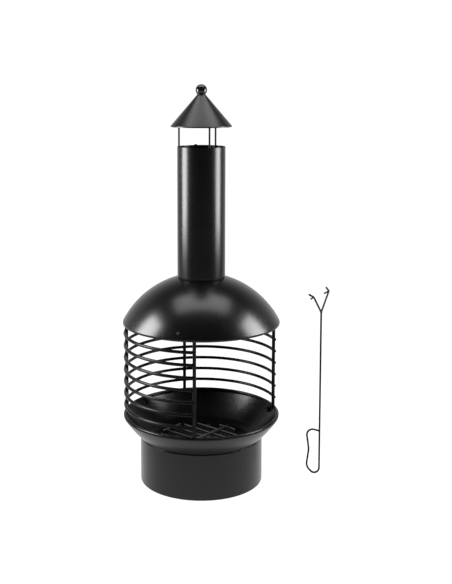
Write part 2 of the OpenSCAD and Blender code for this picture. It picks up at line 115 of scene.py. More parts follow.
def whiteRoom(look):
    world = bpy.data.worlds.new("whiteRoom")
    bpy.context.scene.world = world
    world.use_nodes = True
    tree = world.node_tree
    tree.nodes.clear()
    join = tree.links.new
    out = tree.nodes.new("ShaderNodeOutputWorld")
    direction = tree.nodes.new("ShaderNodeTexCoord")
    axes = tree.nodes.new("ShaderNodeSeparateXYZ")
    join(direction.outputs["Generated"], axes.inputs[0])
    height = tree.nodes.new("ShaderNodeMapRange")
    height.inputs["From Min"].default_value = -1
    join(axes.outputs["Z"], height.inputs["Value"])
    behind = tree.nodes.new("ShaderNodeMapRange")
    behind.inputs["From Min"].default_value = look["frontStarts"]
    behind.inputs["From Max"].default_value = look["frontEnds"]
    join(axes.outputs["Y"], behind.inputs["Value"])
    front = brightnessRamp(tree, look["front"])
    back = brightnessRamp(tree, look["back"])
    join(height.outputs[0], front.inputs[0])
    join(height.outputs[0], back.inputs[0])
    # Sockets 6, 7 and 2 are the mix's colours and its colour result
    both = tree.nodes.new("ShaderNodeMix")
    both.data_type = "RGBA"
    join(behind.outputs[0], both.inputs[0])
    join(front.outputs[0], both.inputs[6])
    join(back.outputs[0], both.inputs[7])
    mirrored = tree.nodes.new("ShaderNodeBackground")
    mirrored.inputs["Strength"].default_value = look["mirrored"]
    join(both.outputs[2], mirrored.inputs["Color"])
    plain = tree.nodes.new("ShaderNodeBackground")
    plain.inputs["Color"].default_value = (1, 1, 1, 1)
    plain.inputs["Strength"].default_value = look["plain"]
    # Glossy rays see the graded room, all others the plain one
    ray = tree.nodes.new("ShaderNodeLightPath")
    choice = tree.nodes.new("ShaderNodeMixShader")
    join(ray.outputs["Is Glossy Ray"], choice.inputs[0])
    join(plain.outputs[0], choice.inputs[1])
    join(mirrored.outputs[0], choice.inputs[2])
    join(choice.outputs[0], out.inputs["Surface"])


def paleFloor(look):
    bm = bmesh.new()
    bmesh.ops.create_circle(bm, cap_ends=True, segments=look["corners"], radius=look["radius"])
    mesh = bpy.data.meshes.new("paleFloor")
    bm.to_mesh(mesh)
    bm.free()
    floor = bpy.data.objects.new("paleFloor", mesh)
    bpy.context.scene.collection.objects.link(floor)
    paper = bpy.data.materials.new("floorPaper")
    paper.use_nodes = True
    shader = paper.node_tree.nodes["Principled BSDF"]
    shader.inputs["Base Color"].default_value = (look["grey"], look["grey"], look["grey"], 1)
    shader.inputs["Roughness"].default_value = 1
    shader.inputs["Specular IOR Level"].default_value = 0
    shader.inputs["Emission Color"].default_value = (1, 1, 1, 1)
    shader.inputs["Emission Strength"].default_value = look["glow"]
    # Seen from below, the floor is clear
    under = paper.node_tree.nodes.new("ShaderNodeNewGeometry")
    clear = paper.node_tree.nodes.new("ShaderNodeBsdfTransparent")
    either = paper.node_tree.nodes.new("ShaderNodeMixShader")
    join = paper.node_tree.links.new
    join(under.outputs["Backfacing"], either.inputs[0])
    join(shader.outputs[0], either.inputs[1])
    join(clear.outputs[0], either.inputs[2])
    join(either.outputs[0], paper.node_tree.nodes["Material Output"].inputs["Surface"])
    mesh.materials.append(paper)
    floor.visible_glossy = False  # the coat mirrors the white room in its place


for boxName, box in softBoxes.items():
    softBox(boxName, box)
whiteRoom(room)
paleFloor(floorLook)
print("camera, lights and floor set")


# Finishes. Sizes of clouds and grain are counts to the metre; depth is in metres
finishes = {
    "bowlCoat": {"dark": 0.0006, "light": 0.0012, "rough": (0.22, 0.27), "cloud": 16,
                 "grain": 950, "depth": 0.00005},
    "sheetCoat": {"dark": 0.0006, "light": 0.0012, "rough": (0.24, 0.28), "cloud": 16,
                  "grain": 950, "depth": 0.00005},
    "capCoat": {"dark": 0.002, "light": 0.004, "rough": (0.30, 0.36), "cloud": 22,
                "grain": 1100, "depth": 0.00006},
    "rodCoat": {"dark": 0.0008, "light": 0.0015, "rough": (0.22, 0.28), "cloud": 30,
                "grain": 1200, "depth": 0.00002, "specular": 0.25},
    "capRodCoat": {"dark": 0.0008, "light": 0.0015, "rough": (0.3, 0.38), "cloud": 40,
                   "grain": 1300, "depth": 0.00003, "specular": 0.2},
    # Dull, low-sheen coat: the collar's dimmed reflection is painted shade for the crevice under the pipe's
    # foot
    "collarPaintedShadeCoat": {"dark": 0.0006, "light": 0.0012, "rough": (0.6, 0.7), "cloud": 20,
                   "grain": 1000, "depth": 0.00006, "specular": 0.12},
    "ballLacquer": {"dark": 0.003, "light": 0.005, "rough": (0.07, 0.12), "cloud": 45,
                    "grain": 380, "depth": 0.00001},
    "grateCoat": {"dark": 0.014, "light": 0.026, "rough": (0.42, 0.55), "cloud": 45,
                  "grain": 900, "depth": 0.00005},
    "toolCoat": {"dark": 0.0008, "light": 0.0015, "rough": (0.3, 0.38), "cloud": 35,
                 "grain": 1200, "depth": 0.00003, "specular": 0.25},
    "darkFixing": {"dark": 0.002, "light": 0.006, "rough": (0.34, 0.48), "cloud": 160,
                   "grain": 1500, "depth": 0.00003, "specular": 0.25},
    "zincPlate": {"dark": 0.42, "light": 0.62, "rough": (0.26, 0.42), "cloud": 140,
                  "grain": 1400, "depth": 0.00002, "metal": 1},
}
# What all the finishes share
coating = {
    "specular": 0.5,
    "tintFrom": 0.35,  # the clouds' levels where the coat is darkest and lightest
    "tintTo": 0.68,
    "darkBlue": 1.04,  # blue against red and green
    "lightBlue": 0.98,
    "tintDetail": 4,
    "sheenScale": 0.37,  # the gloss changes over larger clouds than the tint
    "sheenDetail": 2,
    "sheenFrom": 0.3,
    "sheenTo": 0.7,
    "grainDetail": 2,
    "bump": 0.6,
}


def cloudNoise(tree, place, scale, detail):
    cloud = tree.nodes.new("ShaderNodeTexNoise")
    cloud.inputs["Scale"].default_value = scale
    cloud.inputs["Detail"].default_value = detail
    tree.links.new(place.outputs["Object"], cloud.inputs["Vector"])
    return cloud


def finishMaterial(name, look):
    material = bpy.data.materials.new(name)
    material.use_nodes = True
    tree = material.node_tree
    join = tree.links.new
    shader = tree.nodes["Principled BSDF"]
    shader.inputs["Metallic"].default_value = look.get("metal", 0)
    shader.inputs["Specular IOR Level"].default_value = look.get("specular", coating["specular"])
    place = tree.nodes.new("ShaderNodeTexCoord")
    # Clouds of slightly darker and lighter coat, as powder lands unevenly
    clouds = cloudNoise(tree, place, look["cloud"], coating["tintDetail"])
    tint = tree.nodes.new("ShaderNodeValToRGB")
    darkest, lightest = tint.color_ramp.elements
    darkest.position = coating["tintFrom"]
    lightest.position = coating["tintTo"]
    darkest.color = (look["dark"], look["dark"], look["dark"] * coating["darkBlue"], 1)
    lightest.color = (look["light"], look["light"], look["light"] * coating["lightBlue"], 1)
    join(clouds.outputs[0], tint.inputs[0])
    join(tint.outputs[0], shader.inputs["Base Color"])
    # Gloss that changes over other, larger clouds
    sheen = cloudNoise(tree, place, look["cloud"] * coating["sheenScale"], coating["sheenDetail"])
    gloss = tree.nodes.new("ShaderNodeMapRange")
    gloss.inputs["From Min"].default_value = coating["sheenFrom"]
    gloss.inputs["From Max"].default_value = coating["sheenTo"]
    gloss.inputs["To Min"].default_value, gloss.inputs["To Max"].default_value = look["rough"]
    join(sheen.outputs[0], gloss.inputs["Value"])
    join(gloss.outputs[0], shader.inputs["Roughness"])
    # Fine grain of the baked powder
    grain = cloudNoise(tree, place, look["grain"], coating["grainDetail"])
    bump = tree.nodes.new("ShaderNodeBump")
    bump.inputs["Strength"].default_value = coating["bump"]
    bump.inputs["Distance"].default_value = look["depth"]
    join(grain.outputs[0], bump.inputs["Height"])
    join(bump.outputs[0], shader.inputs["Normal"])
    return material


finish = {name: finishMaterial(name, look) for name, look in finishes.items()}


def numbered(name, count):
    return ["%s_%d" % (name, i + 1) for i in range(count)]


# CAD pieces that are shown as they are
plainPieces = {
    "rodCoat": ["foot_ring_back", "foot_ring_front", "top_ring", "upright_right", "upright_back",
                "upright_left", "upright_front", *numbered("guard_ring", 7)],
    "capRodCoat": numbered("cap_rod", 3),
    "ballLacquer": ["finial_ball"],
    "zincPlate": ["finial_washer"],
    "grateCoat": numbered("grate_bar", 8) + numbered("grate_cross", 3),
    "toolCoat": ["tool_shaft", "tool_arm_left", "tool_arm_right", "tool_prong_left", "tool_prong_right"],
}


def dress(node, material):
    if not node.material_slots:
        node.data.materials.append(material)
    for slot in node.material_slots:
        slot.material = material


for finishName, nodeNames in plainPieces.items():
    for nodeName in nodeNames:
        dress(nodes[nodeName], finish[finishName])
print("finishes made:", ", ".join(finish))


# Mesh tools. All of them take millimetres
meshRules = {"mergeWithin": 0.003, "sharpAngle": 38}


def addPiece(name, bm, body, finishName, stands=()):
    bmesh.ops.remove_doubles(bm, verts=bm.verts, dist=meshRules["mergeWithin"] * mm)
    bmesh.ops.recalc_face_normals(bm, faces=bm.faces)
    mesh = bpy.data.meshes.new(name)
    bm.to_mesh(mesh)
    bm.free()
    mesh.shade_smooth()
    mesh.set_sharp_from_angle(angle=math.radians(meshRules["sharpAngle"]))
    mesh.materials.append(finish[finishName])
    piece = bpy.data.objects.new(name, mesh)
    bpy.context.scene.collection.objects.link(piece)
    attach(piece, body)
    if stands:
        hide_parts(*stands)


# Skin over rows of points, each row a closed loop
def skinRows(bm, rows, place, ringed=True, capped=False):
    made = [[bm.verts.new((place @ Vector(point)) * mm) for point in row] for row in rows]
    count = len(rows[0])
    for i in range(len(rows) if ringed else len(rows) - 1):
        low, high = made[i], made[(i + 1) % len(rows)]
        for k in range(count):
            n = (k + 1) % count
            bm.faces.new((low[k], low[n], high[n], high[k]))
    if capped:
        bm.faces.new(made[0])
        bm.faces.new(list(reversed(made[-1])))


# Turned piece: an outline of (radius, height) points round the axis
def turned(bm, outline, steps, place=Matrix()):
    around = [2 * math.pi * k / steps for k in range(steps)]
    skinRows(bm, [[(r * math.cos(a), r * math.sin(a), z) for a in around] for r, z in outline], place)


def turnAbout(azimuth):
    return Matrix.Rotation(math.radians(azimuth), 4, "Z")


# Turns to the three places that lie evenly round the axis
def threeRound(firstAzimuth):
    return [turnAbout(firstAzimuth + 120 * i) for i in range(3)]


def raised(height):
    return Matrix.Translation((0, 0, height))


# Flat path whose points may carry a bend radius as third value
def easedPath(points, steps=6):
    path = []
    for i, point in enumerate(points):
        here = Vector(point[:2])
        if len(point) < 3 or i in (0, len(points) - 1):
            path.append(here)
            continue
        back = (Vector(points[i - 1][:2]) - here).normalized()
        ahead = (Vector(points[i + 1][:2]) - here).normalized()
        corner = back.angle(ahead)
        middle = here + (back + ahead).normalized() * (point[2] / math.sin(corner / 2))
        start = here + back * (point[2] / math.tan(corner / 2)) - middle
        sweep = math.copysign(math.pi - corner, back.y * ahead.x - back.x * ahead.y)
        for k in range(steps + 1):
            a = sweep * k / steps
            path.append(middle + Vector((start.x * math.cos(a) - start.y * math.sin(a),
                                         start.x * math.sin(a) + start.y * math.cos(a))))
    return path


def arcPath(centre, radius, start, end, steps):
    angles = [math.radians(start + (end - start) * k / steps) for k in range(steps + 1)]
    return [(centre[0] + radius * math.cos(a), centre[1] + radius * math.sin(a)) for a in angles]


# The path moved to its left; a sharp corner moves out no further than narrowest allows
def leftOf(path, distance, narrowest=0.3):
    moved = []
    for i, here in enumerate(path):
        sides = []
        if i:
            way = (here - path[i - 1]).normalized()
            sides.append(Vector((-way.y, way.x)))
        if i < len(path) - 1:
            way = (path[i + 1] - here).normalized()
            sides.append(Vector((-way.y, way.x)))
        side = sum(sides, Vector((0, 0))).normalized()
        moved.append(here + side * (distance / max(narrowest, side.dot(sides[0]))))
    return moved


# Half circle from one face of the sheet to the other
def roundedEdge(here, there, outward, half, steps=6):
    centre, edge = (here + there) / 2, (here - there) / 2
    angles = [math.pi * k / steps for k in range(1, steps)]
    return [centre + edge * math.cos(a) + outward * (half * math.sin(a)) for a in angles]


# Closed outline of a sheet that lies to the left of its path, with its open edges rounded
def sheetOutline(path, thick, roundStart=True, roundEnd=True):
    path = [Vector(point) for point in path]
    half = thick / 2
    startWay = (path[1] - path[0]).normalized()
    endWay = (path[-1] - path[-2]).normalized()
    if roundStart:
        path[0] = path[0] + startWay * half
    if roundEnd:
        path[-1] = path[-1] - endWay * half
    inner = leftOf(path, thick)
    outline = list(path)
    if roundEnd:
        outline += roundedEdge(path[-1], inner[-1], endWay, half)
    outline += reversed(inner)
    if roundStart:
        outline += roundedEdge(inner[0], path[0], -startWay, half)
    return [(point.x, point.y) for point in outline]


# Weld metal. Its ripples are the puddles that the torch leaves; shares are of the bead's radius
weld = {
    "sides": 8,
    "step": 0.4,
    "ripple": 0.16,
    "rippleLength": 1.5,
    "uneven": 0.1,
    "unevenScale": 0.4,
    "endShare": 0.25,
    "sideways": (0.31, 0.17, 1),  # no straight bead runs this way
    "lump": 0.12,
    "lumpScale": 2.2,
    "lumpChange": 0.1,  # makes the lumps differ from place to place
    "lumpDetail": 3,
}


def weldBead(bm, points, radius, place, centre=None, closed=False):
    points = [Vector(p) for p in points]
    last = len(points) - 1
    around = [2 * math.pi * k / weld["sides"] for k in range(weld["sides"])]
    rows = []
    run = 0
    for i, here in enumerate(points):
        before = points[i - 1] if i or closed else here
        after = points[(i + 1) % len(points)] if i < last or closed else here
        way = (after - before).normalized()
        run += (here - points[i - 1]).length if i else 0
        out = here - Vector(centre) if centre else Vector(weld["sideways"])
        out = (out - way * out.dot(way)).normalized()
        side = way.cross(out)
        swell = 1 + weld["ripple"] * math.sin(2 * math.pi * run / (weld["rippleLength"] * radius))
        swell += weld["uneven"] * noise.noise(here * weld["unevenScale"])
        if not closed and i in (0, last):
            swell = weld["endShare"]
        reach = radius * swell
        rows.append([here + out * (reach * math.cos(a)) + side * (reach * math.sin(a)) for a in around])
    skinRows(bm, rows, place, ringed=closed, capped=not closed)


def straightBead(bm, start, end, radius, place):
    start, end = Vector(start), Vector(end)
    steps = max(4, int((end - start).length / (radius * weld["step"])))
    weldBead(bm, [start.lerp(end, k / steps) for k in range(steps + 1)], radius, place)


# Small lump of weld, a little uneven
def weldNugget(bm, radii, place):
    made = bmesh.ops.create_icosphere(bm, subdivisions=weld["lumpDetail"], radius=1)["verts"]
    shift = place.translation * weld["lumpChange"]
    for vert in made:
        lump = 1 + weld["lump"] * noise.noise(vert.co * weld["lumpScale"] + shift)
        shaped = Vector((vert.co.x * radii[0], vert.co.y * radii[1], vert.co.z * radii[2])) * lump
        vert.co = (place @ shaped) * mm


nut = {
    "flats": 10,
    "thick": 5,
    "bore": 3.05,
    "mouth": 0.45,  # how much the bore widens at both faces
    "faceShare": 0.96,
    "chamfer": 24,  # degrees
    "steps": 48,
}


# Hexagon nut that stands on z = 0, its corners turned off at both faces
def hexNut(bm, place):
    flat = nut["flats"] / 2
    slope = math.tan(math.radians(nut["chamfer"]))
    face = flat * nut["faceShare"]
    top = nut["thick"]

    def row(kind, z):
        points = []
        for k in range(nut["steps"]):
            a = 2 * math.pi * k / nut["steps"]
            corner = flat / math.cos((a % (math.pi / 3)) - math.pi / 6)
            r = {"bore": nut["bore"], "mouth": nut["bore"] + nut["mouth"], "face": face, "hex": corner}[kind]
            drop = {"bore": nut["mouth"], "hex": (corner - face) * slope}.get(kind, 0)
            points.append((r * math.cos(a), r * math.sin(a), z - drop if z == top else z + drop))
        return points

    kinds = ("bore", "mouth", "face", "hex")
    skinRows(bm, [row(kind, 0) for kind in kinds] + [row(kind, top) for kind in reversed(kinds)], place)


thread = {
    "radius": 3,
    "pitch": 1.0,
    "deep": 0.55,
    "steps": 8,  # rows of points to one pitch
    "sides": 20,
    "endCut": 0.7,
    "endSlope": 0.9,
}


# Threaded rod from z = low up to z = high, its ends cut to a small cone
def threadedRod(bm, low, high, place):
    rows = []
    steps = int((high - low) / thread["pitch"] * thread["steps"])
    for i in range(steps + 1):
        z = low + (high - low) * i / steps
        cone = thread["radius"] - thread["endCut"] + min(z - low, high - z) * thread["endSlope"]
        row = []
        for k in range(thread["sides"]):
            a = 2 * math.pi * k / thread["sides"]
            wave = abs(((z / thread["pitch"] - a / (2 * math.pi)) % 1) * 2 - 1)
            r = min(thread["radius"] - thread["deep"] * wave, cone)
            row.append((r * math.cos(a), r * math.sin(a), z))
        rows.append(row)
    skinRows(bm, rows, place, ringed=False, capped=True)


# The head's rim goes from the dome's edge out to the widest point and in to the face below
boltHead = {
    "diameter": 11,
    "height": 3.5,
    "edge": 0.35,
    "rimIn": 0.08,
    "rimTop": 1.1,  # a share of the edge, as the next two are
    "rimMiddle": 0.7,
    "faceIn": 0.4,
    "domeSteps": 10,
    "steps": 40,
    "shankIn": 0.2,
}


# Domed head that stands on z = 0, with its thread below
def domedBolt(bm, length, place):
    tall, wide, edge = boltHead["height"], boltHead["diameter"] / 2, boltHead["edge"]
    ball = (tall * tall + wide * wide) / (2 * tall)
    faceRadius = wide - edge * boltHead["faceIn"]
    top = math.degrees(math.asin(faceRadius / ball))
    outline = [(0, tall)]
    for k in range(1, boltHead["domeSteps"]):
        a = math.radians(top * k / boltHead["domeSteps"])
        outline.append((ball * math.sin(a), tall - ball + ball * math.cos(a)))
    outline += [(wide - boltHead["rimIn"], edge * boltHead["rimTop"]), (wide, edge * boltHead["rimMiddle"]),
                (faceRadius, 0), (0, 0)]
    turned(bm, outline, boltHead["steps"], place)
    threadedRod(bm, -length, boltHead["shankIn"], place)


plateEdge = {"ease": 0.4, "cornerShare": 0.6, "steps": 5}


def pointsBetween(a, b, steps):
    return [(a[0] + (b[0] - a[0]) * k / steps, a[1] + (b[1] - a[1]) * k / steps) for k in range(1, steps)]


def roundedBox(x0, x1, half, radius):
    corners = [(x1 - radius, half - radius, 0), (x0 + radius, half - radius, 90),
               (x0 + radius, radius - half, 180), (x1 - radius, radius - half, 270)]
    points = []
    for x, y, start in corners:
        arc = arcPath((x, y), radius, start, start + 90, plateEdge["steps"])
        if points:
            points += pointsBetween(points[-1], arc[0], plateEdge["steps"])
        points += arc
    return points + pointsBetween(points[-1], points[0], plateEdge["steps"])


# Flat plate with a bolt hole at its origin and eased edges
def drilledPlate(bm, x0, x1, width, z0, z1, hole, corner, place):
    ease = plateEdge["ease"]
    full = roundedBox(x0, x1, width / 2, corner)
    slim = roundedBox(x0 + ease, x1 - ease, width / 2 - ease, corner - ease * plateEdge["cornerShare"])

    def bored(z):
        return [(x / math.hypot(x, y) * hole, y / math.hypot(x, y) * hole, z) for x, y in slim]

    def level(outline, z):
        return [(x, y, z) for x, y in outline]

    skinRows(bm, [bored(z0), level(slim, z0), level(full, z0 + ease),
                  level(full, z1 - ease), level(slim, z1), bored(z1)], place)


# Strip of sheet bent along a flat path, which lies in the plane of x and z
def bentStrip(bm, path, thick, width, place):
    ease = plateEdge["ease"]
    full = sheetOutline(path, thick)
    slim = sheetOutline(leftOf(path, ease), thick - 2 * ease)
    half = width / 2
    rows = [[(x, y, z) for x, z in outline]
            for outline, y in ((slim, -half), (full, ease - half), (full, half - ease), (slim, half))]
    skinRows(bm, rows, place, ringed=False, capped=True)


sheet = {"thick": 1.5, "steps": 224, "pipeSteps": 160}

# Base ring: rolled sheet with its top edge turned in, closed by a weld down its back
baseRing = {
    "radius": 196,
    "height": 144.5,
    "rows": (0, 3, 72, 141),  # heights of the wall's points
    "topBend": 1.0,
    "topIn": 2.9,
    "seamAzimuth": 90,
    "seam": 1.7,
    "seamIn": 0.6,
    "seamShort": 1.5,
}


def makeBaseRing(ring):
    bm = bmesh.new()
    path = [(ring["radius"], z) for z in ring["rows"]]
    path += [(ring["radius"], ring["height"], ring["topBend"]),
             (ring["radius"] - ring["topIn"], ring["height"])]
    turned(bm, sheetOutline(easedPath(path), sheet["thick"]), sheet["steps"])
    addPiece("baseRing", bm, "stand", "sheetCoat", ["base_ring"])
    bm = bmesh.new()
    seamEnds = [(ring["radius"] - ring["seamIn"], 0, z)
                for z in (ring["seamShort"], ring["height"] - ring["seamShort"])]
    straightBead(bm, *seamEnds, ring["seam"], turnAbout(ring["seamAzimuth"]))
    addPiece("baseRingSeam", bm, "stand", "sheetCoat")


makeBaseRing(baseRing)


# Fire bowl: pressed sheet with a flat floor, a bend, a curved wall and an upright lip
bowl = {
    "rimRadius": 250,
    "rim": 215.7,
    "lip": 6,
    "lipEase": 2.2,
    "wallRadius": 370,
    "wallSteps": 22,
    "bendRadius": 55,
    "bendSteps": 10,
    "floor": 122.3,
    "floorRows": (0, 60, 110),  # radii
    "ringGap": 0.2,
}


# Centres of the wall's and the bend's arcs, and the wall's upper end
def bowlShape(shape):
    foot = Vector((baseRing["radius"] - sheet["thick"] - shape["ringGap"], baseRing["height"]))
    head = Vector((shape["rimRadius"], shape["rim"] - shape["lip"]))
    chord = head - foot
    sight = math.sqrt(shape["wallRadius"] ** 2 - (chord.length / 2) ** 2)
    wallCentre = (head + foot) / 2 + Vector((-chord.y, chord.x)) * (sight / chord.length)
    reach = shape["wallRadius"] - shape["bendRadius"]
    bendHeight = shape["floor"] + shape["bendRadius"]
    drop = wallCentre.y - bendHeight
    bendCentre = Vector((wallCentre.x + math.sqrt(reach ** 2 - drop ** 2), bendHeight))
    return wallCentre, bendCentre, head


wallCentre, bendCentre, wallHead = bowlShape(bowl)


def makeFireBowl(shape):
    meetWay = bendCentre - wallCentre
    meet = math.degrees(math.atan2(meetWay.y, meetWay.x))
    headWay = wallHead - wallCentre
    top = math.degrees(math.atan2(headWay.y, headWay.x))
    path = [(r, shape["floor"]) for r in shape["floorRows"]]
    path += arcPath(bendCentre, shape["bendRadius"], -90, meet, shape["bendSteps"])
    path += arcPath(wallCentre, shape["wallRadius"], meet, top, shape["wallSteps"])[1:-1]
    path += [(wallHead.x, wallHead.y, shape["lipEase"]), (wallHead.x, shape["rim"])]
    bm = bmesh.new()
    turned(bm, sheetOutline(easedPath(path), sheet["thick"], roundStart=False), sheet["steps"])
    addPiece("fireBowl", bm, "stand", "bowlCoat", ["fire_bowl"])


makeFireBowl(bowl)

# Brackets that carry the bowl in the base ring, each held by one bolt through the bowl's floor
bracket = {
    "firstAzimuth": -41,
    "inner": 118.6,
    "outer": 193.8,
    "top": 122.2,
    "height": 42,
    "thick": 3,
    "width": 30,
    "bend": 4.2,
    "boltRadius": 131.6,
    "boltLength": 16.7,
    "headOn": 123.9,
    "nutUnder": 114.1,
    "weld": 1.6,
    "weldIn": 0.9,
    "weldAbove": 3,  # from the bracket's lower end
    "weldBelow": 6,  # from its top
}


def makeBrackets(shape):
    plates, bolts, nuts, welds = bmesh.new(), bmesh.new(), bmesh.new(), bmesh.new()
    low = shape["top"] - shape["height"]
    path = easedPath([(shape["outer"], low), (shape["outer"], shape["top"], shape["bend"]),
                      (shape["inner"], shape["top"])])
    weldAt = shape["outer"] - shape["weldIn"]
    for turn in threeRound(shape["firstAzimuth"]):
        at = turn @ Matrix.Translation((shape["boltRadius"], 0, 0))
        bentStrip(plates, path, shape["thick"], shape["width"], turn)
        domedBolt(bolts, shape["boltLength"], at @ raised(shape["headOn"]))
        hexNut(nuts, at @ raised(shape["nutUnder"]))
        for side in (-1, 1):
            y = side * shape["width"] / 2
            straightBead(welds, (weldAt, y, low + shape["weldAbove"]),
                         (weldAt, y, shape["top"] - shape["weldBelow"]), shape["weld"], turn)
    addPiece("baseBrackets", plates, "stand", "sheetCoat", ["base_brackets"])
    addPiece("bracketWelds", welds, "stand", "sheetCoat")
    addPiece("floorBolts", bolts, "stand", "darkFixing", ["base_bolts"])
    addPiece("floorNuts", nuts, "stand", "zincPlate", ["base_nuts"])


makeBrackets(bracket)
print("base ring, fire bowl and brackets made")


# Hood: pressed dome with an upright lip and a hole for the collar
hood = {"rimRadius": 250.5, "low": 512.4, "lip": 6.4, "lipEase": 1.6, "domeRise": 150.2, "domeSteps": 44,
        "hole": 74.2}
hood["domeRadius"] = (hood["rimRadius"] ** 2 + hood["domeRise"] ** 2) / (2 * hood["domeRise"])
hood["centre"] = hood["low"] + hood["lip"] + hood["domeRise"] - hood["domeRadius"]


def makeHood(shape):
    centre = (0, shape["centre"])
    start = math.degrees(math.asin((shape["low"] + shape["lip"] - shape["centre"]) / shape["domeRadius"]))
    end = math.degrees(math.acos(shape["hole"] / shape["domeRadius"]))
    lipTop = (shape["rimRadius"], shape["low"] + shape["lip"], shape["lipEase"])
    path = [(shape["rimRadius"], shape["low"]), lipTop]
    path += arcPath(centre, shape["domeRadius"], start, end, shape["domeSteps"])[1:]
    bm = bmesh.new()
    turned(bm, sheetOutline(easedPath(path), sheet["thick"], roundEnd=False), sheet["steps"])
    addPiece("hood", bm, "stand", "sheetCoat", ["hood_dome"])


makeHood(hood)

# Collar: short sleeve through the hood's hole, with the bead on which the pipe stands
collar = {
    "radius": 74.1,
    "rows": (650.7, 670, 700, 722.6),  # heights
    "bead": 75.2,
    "beadTop": 662.64,
    "beadRoot": 0.5,  # how far the bead reaches into the sleeve
    "beadEdge": 0.5,
    "beadEaseLow": 0.1,
    "beadEaseTop": 0.4,
    "hoodGap": 0.1,
}


def makeCollar(shape):
    bm = bmesh.new()
    path = [(shape["radius"], z) for z in shape["rows"]]
    turned(bm, sheetOutline(path, sheet["thick"]), sheet["steps"])
    root, out, top = shape["radius"] - shape["beadRoot"], shape["bead"], shape["beadTop"]
    low = hood["centre"] + math.sqrt((hood["domeRadius"] + shape["hoodGap"]) ** 2 - out ** 2)
    bead = [(root, low), (out - shape["beadEaseLow"], low), (out, low + shape["beadEdge"]),
            (out, top - shape["beadEdge"]), (out - shape["beadEaseTop"], top), (root, top)]
    turned(bm, bead, sheet["steps"])
    # The collar's dull coat is painted shade: it darkens the crevice where the pipe stands on the hood
    addPiece("hoodCollar", bm, "stand", "collarPaintedShadeCoat", ["hood_collar"])


makeCollar(collar)

# Chimney pipe: rolled sheet with its seam at the back, whose end stands up a little at the rim
pipe = {
    "radius": 76,
    "low": 662.94,
    "length": 412,
    "edgeRow": 3,
    "middleRow": 200,
    "seamAzimuth": 104,
    "seam": 1.5,
    "seamIn": 0.5,
    "seamAbove": 1.5,  # from the pipe's foot
    "seamBelow": 1,  # from its rim
    "seamEnd": (1.5, 5, 3),
}


def makePipe(shape):
    low, top = shape["low"], shape["low"] + shape["length"]
    bm = bmesh.new()
    heights = (low, low + shape["edgeRow"], low + shape["middleRow"], top - shape["edgeRow"], top)
    path = [(shape["radius"], z) for z in heights]
    turned(bm, sheetOutline(path, sheet["thick"]), sheet["pipeSteps"])
    addPiece("chimneyPipe", bm, "chimney", "sheetCoat", ["chimney_pipe"])
    bm = bmesh.new()
    turn = turnAbout(shape["seamAzimuth"])
    seamEnds = [(shape["radius"] - shape["seamIn"], 0, z)
                for z in (low + shape["seamAbove"], top - shape["seamBelow"])]
    straightBead(bm, *seamEnds, shape["seam"], turn)
    middle = shape["radius"] - sheet["thick"] / 2
    weldNugget(bm, shape["seamEnd"], turn @ Matrix.Translation((middle, 0, top)))
    addPiece("pipeSeam", bm, "chimney", "sheetCoat")


makePipe(pipe)

# Rain cap: a cone of sheet with a short lip, closed by a weld at the back, on three rods
rainCap = {
    "radius": 96,
    "low": 1139.94,
    "tip": 1252.44,
    "rows": (93, 70, 45, 25),  # radii
    "lip": 3.6,
    "lipEase": 0.6,
    "ballHeight": 1250.94,
    "ballRadius": 18.2,
    "ballGap": 0.1,
    "seamAzimuth": 90,
    "seam": 1.2,
    "seamSunk": 0.3,
    "seamFromEdge": 2,
    "seamFromBall": 3,
}
capSlope = (rainCap["tip"] - rainCap["low"]) / rainCap["radius"]


def makeRainCap(shape):
    # The sheet ends where it meets the ball
    a, b = 1 + capSlope ** 2, -2 * capSlope * (shape["tip"] - shape["ballHeight"])
    c = (shape["tip"] - shape["ballHeight"]) ** 2 - (shape["ballRadius"] + shape["ballGap"]) ** 2
    neck = (-b + math.sqrt(b * b - 4 * a * c)) / (2 * a)
    path = [(shape["radius"], shape["low"] - shape["lip"]), (shape["radius"], shape["low"], shape["lipEase"])]
    path += [(r, shape["tip"] - r * capSlope) for r in (*shape["rows"], neck)]
    bm = bmesh.new()
    turned(bm, sheetOutline(easedPath(path), sheet["thick"], roundEnd=False), sheet["pipeSteps"])
    addPiece("rainCap", bm, "chimney", "capCoat", ["rain_cone"])
    bm = bmesh.new()
    seamEnds = [(r, 0, shape["tip"] - r * capSlope - shape["seamSunk"])
                for r in (shape["radius"] - shape["seamFromEdge"], neck + shape["seamFromBall"])]
    straightBead(bm, *seamEnds, shape["seam"], turnAbout(shape["seamAzimuth"]))
    addPiece("rainCapSeam", bm, "chimney", "capCoat")


makeRainCap(rainCap)

# Welds of the cap's rods: two beads inside the pipe for each, and one round its top under the cone
capWeld = {
    "rodAzimuth": 50.5,
    "rodAt": 71.4,
    "rodRadius": 3,
    "rodIn": 35,  # how far the rods reach into the pipe
    "bead": 1.2,
    "beadIn": 0.8,
    "beadAside": 2.3,
    "beadAbove": 2,  # from the rod's foot
    "beadBelow": 3,  # from the pipe's rim
    "loop": 1.1,
    "loopGap": 0.1,
    "loopSunk": 0.3,
    "loopSteps": 28,
}


